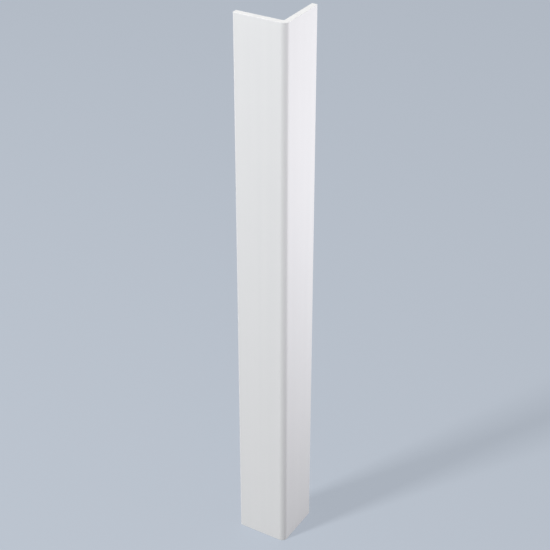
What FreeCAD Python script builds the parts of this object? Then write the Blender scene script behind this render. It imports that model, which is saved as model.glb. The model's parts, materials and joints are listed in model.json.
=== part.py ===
# Corner guard moulding: one extruded length of white rigid PVC angle that covers an outside corner of a wall.
# It stands upright on its sawn end. The front wing faces -Y, the side wing faces +X, and the rounded
# nose between them is the corner that people see. The two wall faces are on the inside of the angle.
# The origin is the centre of the square that the section fills, on the floor.
import FreeCAD, Part
import math
import os

# Driving dimensions, in millimetres
wing_width = 28.575     # outside width of each wing, 1 1/8 in
wall = 3.175            # thickness of both wings, 1/8 in
length = 304.8          # sawn length, 12 in
nose_radius = 3.175     # rounded outside corner, 1/8 in
root_radius = 0.8       # close fillet between the two wall faces, 1/32 in
face_edge_radius = 0.8  # eased free edge of a wing, on the side that shows
wall_edge_radius = 0.4  # eased free edge of a wing, on the side against the wall

# The two roundings of one free edge share the wall, and a flat stays between them.
edge_share = 0.45       # most of the wall that one rounding may take
face_edge = min(face_edge_radius, edge_share * wall)
wall_edge = min(wall_edge_radius, edge_share * wall)


def section_corners():
    """The six sharp corners of the angle section, counter-clockwise from the nose, each with its rounding."""
    nose_x = wing_width / 2
    nose_y = -wing_width / 2
    free_x = nose_x - wing_width    # free edge of the front wing
    free_y = nose_y + wing_width    # free edge of the side wing
    root_x = nose_x - wall          # wall face of the side wing
    root_y = nose_y + wall          # wall face of the front wing
    return [
        (FreeCAD.Vector(nose_x, nose_y, 0), nose_radius),
        (FreeCAD.Vector(nose_x, free_y, 0), face_edge),
        (FreeCAD.Vector(root_x, free_y, 0), wall_edge),
        (FreeCAD.Vector(root_x, root_y, 0), root_radius),
        (FreeCAD.Vector(free_x, root_y, 0), wall_edge),
        (FreeCAD.Vector(free_x, nose_y, 0), face_edge),
    ]


def tangent_arc(before, corner, after, radius):
    """The arc that rounds a corner: where it starts, its middle and where it ends."""
    to_before = (before - corner).normalize()
    to_after = (after - corner).normalize()
    half_angle = to_before.getAngle(to_after) / 2
    inwards = (to_before + to_after).normalize()
    setback = radius / math.tan(half_angle)
    middle_depth = radius / math.sin(half_angle) - radius
    start = corner + to_before * setback
    middle = corner + inwards * middle_depth
    end = corner + to_after * setback
    return start, middle, end


def rounded_wire(corners):
    """A closed wire of straight sides joined by tangent arcs."""
    points = [point for point, radius in corners]
    count = len(corners)
    arcs = []
    for i, (point, radius) in enumerate(corners):
        arcs.append(tangent_arc(points[i - 1], point, points[(i + 1) % count], radius))
    edges = []
    for i, (start, middle, end) in enumerate(arcs):
        next_start = arcs[(i + 1) % count][0]
        edges.append(Part.Arc(start, middle, end).toShape())
        edges.append(Part.LineSegment(end, next_start).toShape())
    return Part.Wire(edges)


def corner_guard():
    """The whole moulding: its section drawn on the floor and extruded up to the sawn top end."""
    section = Part.Face(rounded_wire(section_corners()))
    return section.extrude(FreeCAD.Vector(0, 0, length))


os.makedirs("parts", exist_ok=True)
moulding = corner_guard()
moulding.exportStep("parts/corner_guard.step")
print("corner_guard: volume", round(moulding.Volume, 1), "mm3, valid", moulding.isValid())
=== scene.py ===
import bpy
import json
import math
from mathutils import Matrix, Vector


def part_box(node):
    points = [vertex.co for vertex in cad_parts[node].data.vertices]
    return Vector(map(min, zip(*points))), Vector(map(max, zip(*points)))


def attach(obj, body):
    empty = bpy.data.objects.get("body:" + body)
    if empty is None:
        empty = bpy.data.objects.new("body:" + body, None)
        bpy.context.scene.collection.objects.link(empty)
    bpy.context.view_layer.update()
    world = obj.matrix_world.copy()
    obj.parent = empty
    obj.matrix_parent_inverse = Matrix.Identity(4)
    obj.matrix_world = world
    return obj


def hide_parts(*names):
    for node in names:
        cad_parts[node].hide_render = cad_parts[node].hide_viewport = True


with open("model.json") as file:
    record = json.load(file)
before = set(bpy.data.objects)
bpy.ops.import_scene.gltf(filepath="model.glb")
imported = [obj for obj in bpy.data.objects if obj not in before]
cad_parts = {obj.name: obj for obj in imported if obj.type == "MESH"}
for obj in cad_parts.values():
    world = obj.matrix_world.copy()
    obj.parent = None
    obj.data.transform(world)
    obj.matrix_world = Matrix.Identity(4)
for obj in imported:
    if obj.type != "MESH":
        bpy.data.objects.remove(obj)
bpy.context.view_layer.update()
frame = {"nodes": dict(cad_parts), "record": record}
guardLow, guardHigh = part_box("corner_guard")
mountAt = {mount["name"]: Vector(mount["pos_m"]) for mount in frame["record"]["mounts"]}
print("frame loaded, nodes:", ", ".join(frame["nodes"]))


# a node's output that takes part in sums: each operator adds one Math node
class Wire:
    def __init__(self, board, socket):
        self.board = board
        self.socket = socket

    def calc(self, operation, first, second):
        return self.board.node("ShaderNodeMath", {"operation": operation}, {0: first, 1: second})

    def __add__(self, other):
        return self.calc("ADD", self, other)

    def __radd__(self, other):
        return self.calc("ADD", other, self)

    def __sub__(self, other):
        return self.calc("SUBTRACT", self, other)

    def __rsub__(self, other):
        return self.calc("SUBTRACT", other, self)

    def __mul__(self, other):
        return self.calc("MULTIPLY", self, other)

    def __rmul__(self, other):
        return self.calc("MULTIPLY", other, self)

    def __truediv__(self, other):
        return self.calc("DIVIDE", self, other)

    def __rtruediv__(self, other):
        return self.calc("DIVIDE", other, self)

    def __pow__(self, other):
        return self.calc("POWER", self, other)

    def __rpow__(self, other):
        return self.calc("POWER", other, self)


# one node tree, shader or geometry, and the one way to put a node in it
class Board:
    def __init__(self, tree):
        self.tree = tree

    def node(self, kind, settings=None, inputs=None, output=0):
        made = self.tree.nodes.new(kind)
        for name, value in (settings or {}).items():
            if name == "switchItems":    # an Index Switch starts with two
                while len(made.index_switch_items) < value:
                    made.index_switch_items.new()
            else:
                setattr(made, name, value)
        for key, value in (inputs or {}).items():
            if isinstance(value, Wire):
                self.tree.links.new(value.socket, made.inputs[key])
            else:
                made.inputs[key].default_value = value
        return Wire(self, made.outputs[output]) if len(made.outputs) else made

    def split(self, vector):
        apart = self.node("ShaderNodeSeparateXYZ", {}, {"Vector": vector})
        return [Wire(self, socket) for socket in apart.socket.node.outputs]

    def join(self, x, y, z):
        return self.node("ShaderNodeCombineXYZ", {}, {"X": x, "Y": y, "Z": z})

    def tint(self, share, first, second):    # colour sockets by number, since hidden ones share their names
        return self.node("ShaderNodeMix", {"data_type": "RGBA"}, {0: share, 6: first, 7: second}, 2)

    def ramp(self, value, low, high):    # 0 below low, 1 above high, eased between
        return self.node("ShaderNodeMapRange", {"interpolation_type": "SMOOTHSTEP"},
                         {"Value": value, "From Min": low, "From Max": high})


# white rigid PVC: satin skin with the draw of the die along it, chalky where the saw went through;
# widths and lengths of the marks are in metres
pvcFinish = {
    "skin": (0.845, 0.850, 0.857, 1),
    "skinDull": (0.828, 0.834, 0.842, 1),
    "sawn": (0.835, 0.836, 0.832, 1),
    "sawnDull": (0.770, 0.771, 0.768, 1),
    "skinRoughness": 0.46,
    "sawnRoughness": 0.85,
    "refraction": 1.53,
    "dieLines": {"across": 0.00042, "along": 0.090, "seed": 3.1, "detail": 2.0},
    "drawBands": {"across": 0.0034, "along": 0.240, "seed": 8.7, "detail": 2.0},
    "clouds": {"across": 0.018, "detail": 3.0},      # patches of slightly duller white
    "grain": {"across": 0.00030, "detail": 1.0},     # pebble of the satin skin
    "dullShares": {"drawBands": 0.55, "clouds": 0.30, "dieLines": 0.15},
    "dullRange": (0.32, 0.68),
    "roughSwings": {"dieLines": 0.16, "drawBands": 0.10},
    "heightShares": {"dieLines": 0.30, "grain": 0.30, "drawBands": 0.40},
    "toothMarks": {"pitch": 0.00055, "run": 0.006, "depth": 0.010, "detail": 2.0, "height": 1.6},
    "toothRange": (0.35, 0.75),
    "bladeCentre": (-0.085, 0.085),      # the blade came in through the hollow of the angle
    "sawnDepth": (0.00002, 0.00022),     # wholly sawn down to the first, wholly skin past the second
    "reliefDepth": 0.000020,             # what a height of 1 stands for
}


def pvcMaterial(name, finish, length):
    material = bpy.data.materials.new(name)
    material.use_nodes = True
    board = Board(material.node_tree)
    x, y, z = board.split(board.node("ShaderNodeTexCoord", output="Object"))
    girth = x + y    # grows steadily round the section, over the nose and over the root alike

    def noise(spot, detail):    # the spot is counted in widths of the mark
        return board.node("ShaderNodeTexNoise", {}, {"Vector": spot, "Scale": 1.0, "Detail": detail})

    def streaks(mark):
        return noise(board.join(girth / mark["across"], z / mark["along"], mark["seed"]), mark["detail"])

    def spots(mark):
        width = mark["across"]
        return noise(board.join(x / width, y / width, z / width), mark["detail"])

    marks = {
        "dieLines": streaks(finish["dieLines"]),
        "drawBands": streaks(finish["drawBands"]),
        "clouds": spots(finish["clouds"]),
        "grain": spots(finish["grain"]),
    }

    def blend(shares, start=0.0):
        return sum((marks[mark] * share for mark, share in shares.items()), start)

    # tooth marks are arcs about the blade's centre
    tooth = finish["toothMarks"]
    bladeX, bladeY = finish["bladeCentre"]
    fromBlade = ((x - bladeX) ** 2 + (y - bladeY) ** 2) ** 0.5
    cut = board.join(fromBlade / tooth["pitch"], girth / tooth["run"], z / tooth["depth"])
    toothMarks = noise(cut, tooth["detail"])
    endGap = board.node("ShaderNodeMath", {"operation": "MINIMUM"}, {0: z, 1: length - z})
    sawn = 1 - board.ramp(endGap, *finish["sawnDepth"])

    dullness = board.ramp(blend(finish["dullShares"]), *finish["dullRange"])
    skinColour = board.tint(dullness, finish["skin"], finish["skinDull"])
    chalk = board.ramp(toothMarks, *finish["toothRange"])
    sawnColour = board.tint(chalk, finish["sawn"], finish["sawnDull"])
    colour = board.tint(sawn, skinColour, sawnColour)

    swings = finish["roughSwings"]
    smoothest = finish["skinRoughness"] - sum(swings.values()) / 2    # the marks swing it evenly both ways
    roughness = blend(swings, smoothest) * (1 - sawn) + sawn * finish["sawnRoughness"]
    height = blend(finish["heightShares"]) * (1 - sawn) + toothMarks * sawn * tooth["height"]
    relief = board.node("ShaderNodeBump", {},
                        {"Height": height, "Distance": finish["reliefDepth"], "Strength": 1.0})

    surface = material.node_tree.nodes["Principled BSDF"]
    surface.inputs["IOR"].default_value = finish["refraction"]
    for socketName, wire in (("Base Color", colour), ("Roughness", roughness), ("Normal", relief)):
        material.node_tree.links.new(wire.socket, surface.inputs[socketName])
    return material


# the moulding: its angle section carried straight up from the floor
mouldingSizes = {
    "section": {
        "wingWidth": guardHigh.x - guardLow.x,
        "wall": mountAt["front_wall_face"].y - guardLow.y,
        "length": guardHigh.z - guardLow.z,
        "noseRadius": 0.003175,
        "rootRadius": 0.0008,
        "faceEdgeRadius": 0.0008,    # free edge of a wing, on the side that shows
        "wallEdgeRadius": 0.0004,    # free edge of a wing, on the side against the wall
        "roundSteps": 14,            # facets of the nose and of the root
        "edgeSteps": 7,              # facets of a free edge's rounding
        "lengthSteps": 40,
    },
    "edgeBreak": 0.00018,            # the fine edge that a scraper leaves round a sawn end
    "edgeBreakSteps": 2,
    "edgeBreakAngle": 60,            # degrees: only the rims of the sawn ends are this sharp
}


def sectionTree(sizes, material):
    tree = bpy.data.node_groups.new("angleSection", "GeometryNodeTree")
    tree.interface.new_socket(name="Geometry", in_out="OUTPUT", socket_type="NodeSocketGeometry")
    for name, value in sizes.items():
        kind = "NodeSocketInt" if isinstance(value, int) else "NodeSocketFloat"
        tree.interface.new_socket(name=name, in_out="INPUT", socket_type=kind)
    board = Board(tree)
    groupIn = tree.nodes.new("NodeGroupInput")
    size = {name: Wire(board, groupIn.outputs[name]) for name in sizes}

    outer = size["wingWidth"] * 0.5      # both outer faces, and both free edges, are this far out
    inner = outer - size["wall"]         # both wall faces
    nose = (outer, outer * -1, "noseRadius", "roundSteps")
    sideFace = (outer, outer, "faceEdgeRadius", "edgeSteps")
    sideWall = (inner, outer, "wallEdgeRadius", "edgeSteps")
    root = (inner, inner * -1, "rootRadius", "roundSteps")
    frontWall = (outer * -1, inner * -1, "wallEdgeRadius", "edgeSteps")
    frontFace = (outer * -1, outer * -1, "faceEdgeRadius", "edgeSteps")
    corners = [nose, sideFace, sideWall, root, frontWall, frontFace]

    def byCorner(dataType, values):
        inputs = {"Index": board.node("GeometryNodeInputIndex")}
        inputs.update({str(i): value for i, value in enumerate(values)})
        settings = {"data_type": dataType, "switchItems": len(values)}
        return board.node("GeometryNodeIndexSwitch", settings, inputs)

    spot = byCorner("VECTOR", [board.join(x, y, 0.0) for x, y, radius, steps in corners])
    rounding = byCorner("FLOAT", [size[radius] for x, y, radius, steps in corners])
    facets = byCorner("INT", [size[steps] for x, y, radius, steps in corners])
    ring = board.node("GeometryNodeCurvePrimitiveCircle", {}, {"Resolution": len(corners)})
    angle = board.node("GeometryNodeSetPosition", {}, {"Geometry": ring, "Position": spot})
    section = board.node("GeometryNodeFilletCurve", {"mode": "POLY"},
                         {"Curve": angle, "Count": facets, "Radius": rounding})
    draw = board.node("GeometryNodeCurvePrimitiveLine", {}, {"End": board.join(0.0, 0.0, size["length"])})
    stations = board.node("GeometryNodeResampleCurve", {},
                          {"Curve": draw, "Count": size["lengthSteps"] + 1})
    sweep = board.node("GeometryNodeCurveToMesh", {},
                       {"Curve": stations, "Profile Curve": section, "Fill Caps": True})
    smooth = board.node("GeometryNodeSetShadeSmooth", {}, {"Geometry": sweep})
    plain = board.node("GeometryNodeRealizeInstances", {}, {"Geometry": smooth})
    finished = board.node("GeometryNodeSetMaterial", {}, {"Geometry": plain, "Material": material})
    board.node("NodeGroupOutput", {}, {0: finished})
    return tree


def makeMoulding(sizes, material):
    maker = bpy.data.objects.new("mouldingMaker", bpy.data.meshes.new("mouldingMaker"))
    bpy.context.scene.collection.objects.link(maker)
    tree = sectionTree(sizes["section"], material)
    grow = maker.modifiers.new("angle section", "NODES")
    grow.node_group = tree
    for socket in tree.interface.items_tree:
        if socket.in_out == "INPUT":
            grow[socket.identifier] = sizes["section"][socket.name]
    scrape = maker.modifiers.new("sawn edge break", "BEVEL")
    scrape.limit_method = "ANGLE"
    scrape.angle_limit = math.radians(sizes["edgeBreakAngle"])
    scrape.width = sizes["edgeBreak"]
    scrape.segments = sizes["edgeBreakSteps"]
    scrape.use_clamp_overlap = False
    maker.modifiers.new("flat faces stay flat", "WEIGHTED_NORMAL")
    depsgraph = bpy.context.evaluated_depsgraph_get()
    grown = maker.evaluated_get(depsgraph)
    mesh = bpy.data.meshes.new_from_object(grown, preserve_all_data_layers=True, depsgraph=depsgraph)
    bpy.data.objects.remove(maker)
    mesh.name = "moulding"
    moulding = bpy.data.objects.new("moulding", mesh)
    bpy.context.scene.collection.objects.link(moulding)
    return moulding


whitePvc = pvcMaterial("whitePvc", pvcFinish, mouldingSizes["section"]["length"])
moulding = makeMoulding(mouldingSizes, whitePvc)
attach(moulding, "root")
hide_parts("corner_guard")
print("moulding made:", len(moulding.data.vertices), "vertices,", len(moulding.data.polygons), "faces")


# pale floor, and a sky that meets it without a line
studio = {
    "floorSide": 8.0,
    "bounceColour": (0.106, 0.111, 0.119, 1),    # what the floor sends back to the moulding
    "floorColour": (0.500, 0.540, 0.590, 1),     # what the camera sees of it, shadows too
    "paleColour": (0.500, 0.555, 0.640, 1),      # an even glow over that
    "paleShare": 0.66,
    "skyColour": (1.0, 1.0, 1.0, 1),
    "skyStrength": 0.42,
}


# rays that should meet the pale backdrop: from the camera, or mirrored or bent on the way
def seenRays(board):
    kinds = ("Is Camera Ray", "Is Glossy Ray", "Is Transmission Ray")
    fromCamera, mirrored, bent = [board.node("ShaderNodeLightPath", output=kind) for kind in kinds]
    return fromCamera + mirrored + bent


def makeFloor(look):
    half = look["floorSide"] / 2
    corners = [(-half, -half, 0), (half, -half, 0), (half, half, 0), (-half, half, 0)]
    mesh = bpy.data.meshes.new("floor")
    mesh.from_pydata(corners, [], [(0, 1, 2, 3)])
    floor = bpy.data.objects.new("floor", mesh)
    bpy.context.scene.collection.objects.link(floor)
    material = bpy.data.materials.new("paleFloor")
    material.use_nodes = True
    nodes = material.node_tree.nodes
    nodes.remove(nodes["Principled BSDF"])
    board = Board(material.node_tree)
    bounce = board.node("ShaderNodeBsdfDiffuse", {}, {"Color": look["bounceColour"]})
    paint = board.node("ShaderNodeBsdfDiffuse", {}, {"Color": look["floorColour"]})
    glow = board.node("ShaderNodeEmission", {}, {"Color": look["paleColour"]})
    pale = board.node("ShaderNodeMixShader", {}, {0: look["paleShare"], 1: paint, 2: glow})
    both = board.node("ShaderNodeMixShader", {}, {0: seenRays(board), 1: bounce, 2: pale})
    material.node_tree.links.new(both.socket, nodes["Material Output"].inputs["Surface"])
    mesh.materials.append(material)
    return floor


def farFloor(look):    # the floor's tone far off, where the sky alone lights it
    glowShare = look["paleShare"]
    paintShare = (1 - glowShare) * look["skyStrength"]
    tones = zip(look["paleColour"][:3], look["floorColour"][:3])
    return [glow * glowShare + paint * paintShare for glow, paint in tones] + [1]


def makeSky(look):
    world = bpy.data.worlds.new("studioSky")
    bpy.context.scene.world = world
    world.use_nodes = True
    nodes = world.node_tree.nodes
    light = nodes["Background"]
    light.inputs["Color"].default_value = look["skyColour"]
    light.inputs["Strength"].default_value = look["skyStrength"]
    board = Board(world.node_tree)
    lit = Wire(board, light.outputs[0])
    backdrop = board.node("ShaderNodeBackground", {}, {"Color": farFloor(look)})
    both = board.node("ShaderNodeMixShader", {}, {0: seenRays(board), 1: lit, 2: backdrop})
    world.node_tree.links.new(both.socket, nodes["World Output"].inputs["Surface"])


makeFloor(studio)
makeSky(studio)
print("floor and sky set")


def roundFrom(azimuth, reach, height):    # azimuth 0 faces the front wing, 90 the side wing
    turn = math.radians(azimuth)
    return Vector((reach * math.sin(turn), -reach * math.cos(turn), height))


# two softboxes rake the wings from either side, so the nose between them stays the darkest stripe,
# and a third lights the hollow from behind; the two near the floor are flagged off it, so it stays even
softboxes = {
    "frontSoftbox": {"azimuth": -28, "reach": 1.34, "height": 1.25, "aim": 0.15,
                     "size": (0.2, 1), "power": 26.4, "colour": (1, 1, 1), "flagged": False},
    "sideSoftbox": {"azimuth": 115, "reach": 0.27, "height": 0.255, "aim": 0.25,
                    "size": (0.27, 0.42), "power": 0.838, "colour": (1, 0.97, 1), "flagged": True},
    "backSoftbox": {"azimuth": 205, "reach": 1.5, "height": 0.35, "aim": 0.15,
                    "size": (0.8, 0.6), "power": 9, "colour": (1, 1, 1), "flagged": True},
}
mouldingOnly = bpy.data.collections.new("mouldingOnly")    # all that a flagged softbox lights
mouldingOnly.objects.link(moulding)


def hangSoftbox(name, box):
    lamp = bpy.data.lights.new(name, "AREA")
    lamp.shape = "RECTANGLE"
    lamp.size, lamp.size_y = box["size"]
    lamp.energy = box["power"]
    lamp.color = box["colour"]
    softbox = bpy.data.objects.new(name, lamp)
    softbox.location = roundFrom(box["azimuth"], box["reach"], box["height"])
    facing = Vector((0, 0, box["aim"])) - softbox.location
    softbox.rotation_euler = facing.to_track_quat("-Z", "Y").to_euler()
    softbox.visible_camera = False
    if box["flagged"]:
        softbox.light_linking.receiver_collection = mouldingOnly
    bpy.context.scene.collection.objects.link(softbox)


for name, box in softboxes.items():
    hangSoftbox(name, box)
print("softboxes hung:", ", ".join(softboxes))

# camera at the photo's viewing angle, measured from the foot of the nose
viewpoint = {
    "azimuth": 30.91,
    "tilt": 31.355,       # degrees below level
    "lens": 91.98,        # mm
    "sensor": 36,         # mm
    "standoff": 0.5914,
    "aside": -0.0051,     # metres to the right
    "height": 0.5344,
}


def makeCamera(view, foot):
    turn = math.radians(view["azimuth"])
    rightward = Vector((math.cos(turn), math.sin(turn), 0))
    lens = bpy.data.cameras.new("camera")
    lens.lens = view["lens"]
    lens.sensor_width = view["sensor"]
    camera = bpy.data.objects.new("camera", lens)
    away = roundFrom(view["azimuth"], view["standoff"], view["height"])
    camera.location = foot + away + rightward * view["aside"]
    camera.rotation_euler = (math.radians(90 - view["tilt"]), 0, turn)
    bpy.context.scene.collection.objects.link(camera)
    return camera


noseFoot = Vector((guardHigh.x, guardLow.y, guardLow.z))
bpy.context.scene.camera = makeCamera(viewpoint, noseFoot)
bpy.context.scene.view_settings.view_transform = "Standard"
print("camera set")
